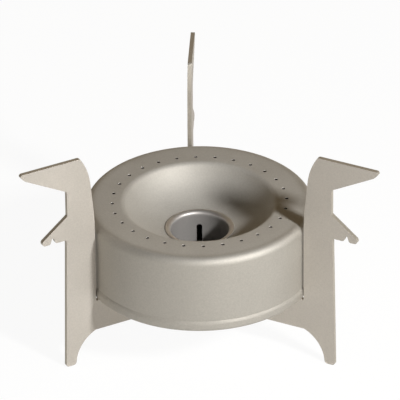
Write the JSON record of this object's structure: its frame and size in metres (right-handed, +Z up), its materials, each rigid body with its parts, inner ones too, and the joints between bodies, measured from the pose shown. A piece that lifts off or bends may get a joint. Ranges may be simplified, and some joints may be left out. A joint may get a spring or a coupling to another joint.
{
  "type": "alcohol spirit stove",
  "caption": "Folding titanium alcohol stove: a round pressed burner with flame jets, loose on a tripod of flat hinged blades that stand it up and hold a pot",
  "frame": {"origin": "on the table, straight under the burner's axis and the blades' hinge", "axes": "+Z up along the burner's axis, +X to the right in the picture, -Y towards its camera"},
  "size_m": [0.1268, 0.1119, 0.0846],
  "materials": {
    "burner_sheet": "bead-blasted titanium sheet, matte satin",
    "tube_sheet": "drawn titanium, satin",
    "pan_sheet": "bead-blasted titanium sheet, matte satin",
    "blade_plate": "bead-blasted titanium plate with cut edges",
    "hinge_metal": "tumbled titanium"
  },
  "bodies": {
    "stand": {"leg_right": "blade_plate", "hinge_rivet": "hinge_metal", "set_washer": "hinge_metal", "spacer_lower": "hinge_metal", "spacer_upper": "hinge_metal"},
    "left_leg": {"leg_left": "blade_plate"},
    "rear_leg": {"leg_rear": "blade_plate"},
    "burner": {"burner_shell": "burner_sheet", "centre_tube": "tube_sheet", "fuel_pan": "pan_sheet"}
  },
  "joints": [
    {"name": "left_leg_fold", "type": "hinge", "parent": "stand", "child": "left_leg", "pos_m": [0, 0, 0.0186], "axis": [0, 0, 1], "range_deg": [-10, 124.5]},
    {"name": "rear_leg_fold", "type": "hinge", "parent": "stand", "child": "rear_leg", "pos_m": [0, 0, 0.0186], "axis": [0, 0, 1], "range_deg": [-113, 10]},
    {"name": "burner_lift", "type": "slide", "parent": "stand", "child": "burner", "axis": [0, 0, 1], "range_m": [0, 0.07]}
  ]
}
